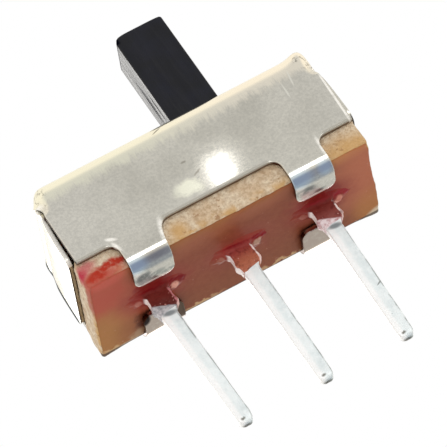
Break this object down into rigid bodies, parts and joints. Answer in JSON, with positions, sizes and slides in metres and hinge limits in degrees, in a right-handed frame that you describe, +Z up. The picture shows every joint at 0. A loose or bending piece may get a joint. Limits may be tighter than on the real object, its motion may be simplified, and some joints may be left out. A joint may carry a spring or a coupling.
{
  "type": "slide switch",
  "caption": "Miniature slide switch: a tinned steel shell crimped over a base board, a tall sliding handle and a row of straight solder pins.",
  "frame": {"origin": "on the circuit board's surface, under the folded feet of the shell, in the axis of the middle terminal", "axes": "+Z up, away from the circuit board, along the handle; X along the row of terminals and the slider's travel, with the slider at its +X end at rest; Y across the shell"},
  "size_m": [0.0088, 0.0038, 0.0124],
  "materials": {
    "tinplate": "satin tin plating, cut edges bright",
    "phenolic_board": "paper laminate with granular cut edges",
    "terminal_plating": "bright tin or silver plating over brass",
    "sealing_lacquer": "glossy, set from a drop",
    "slider_plastic": "moulded, satin, fine draw streaks",
    "clip_bronze": "rolled spring sheet"
  },
  "bodies": {
    "base": {"shell": "tinplate", "base_board": "phenolic_board", "terminal_left": "terminal_plating", "terminal_middle": "terminal_plating", "terminal_right": "terminal_plating", "seal_left": "sealing_lacquer", "seal_middle": "sealing_lacquer", "seal_right": "sealing_lacquer"},
    "slider": {"slider": "slider_plastic", "contact_clip": "clip_bronze"}
  },
  "joints": [
    {"name": "slider_travel", "type": "slide", "parent": "base", "child": "slider", "axis": [1, 0, 0], "range_m": [-0.0023, 0]}
  ]
}
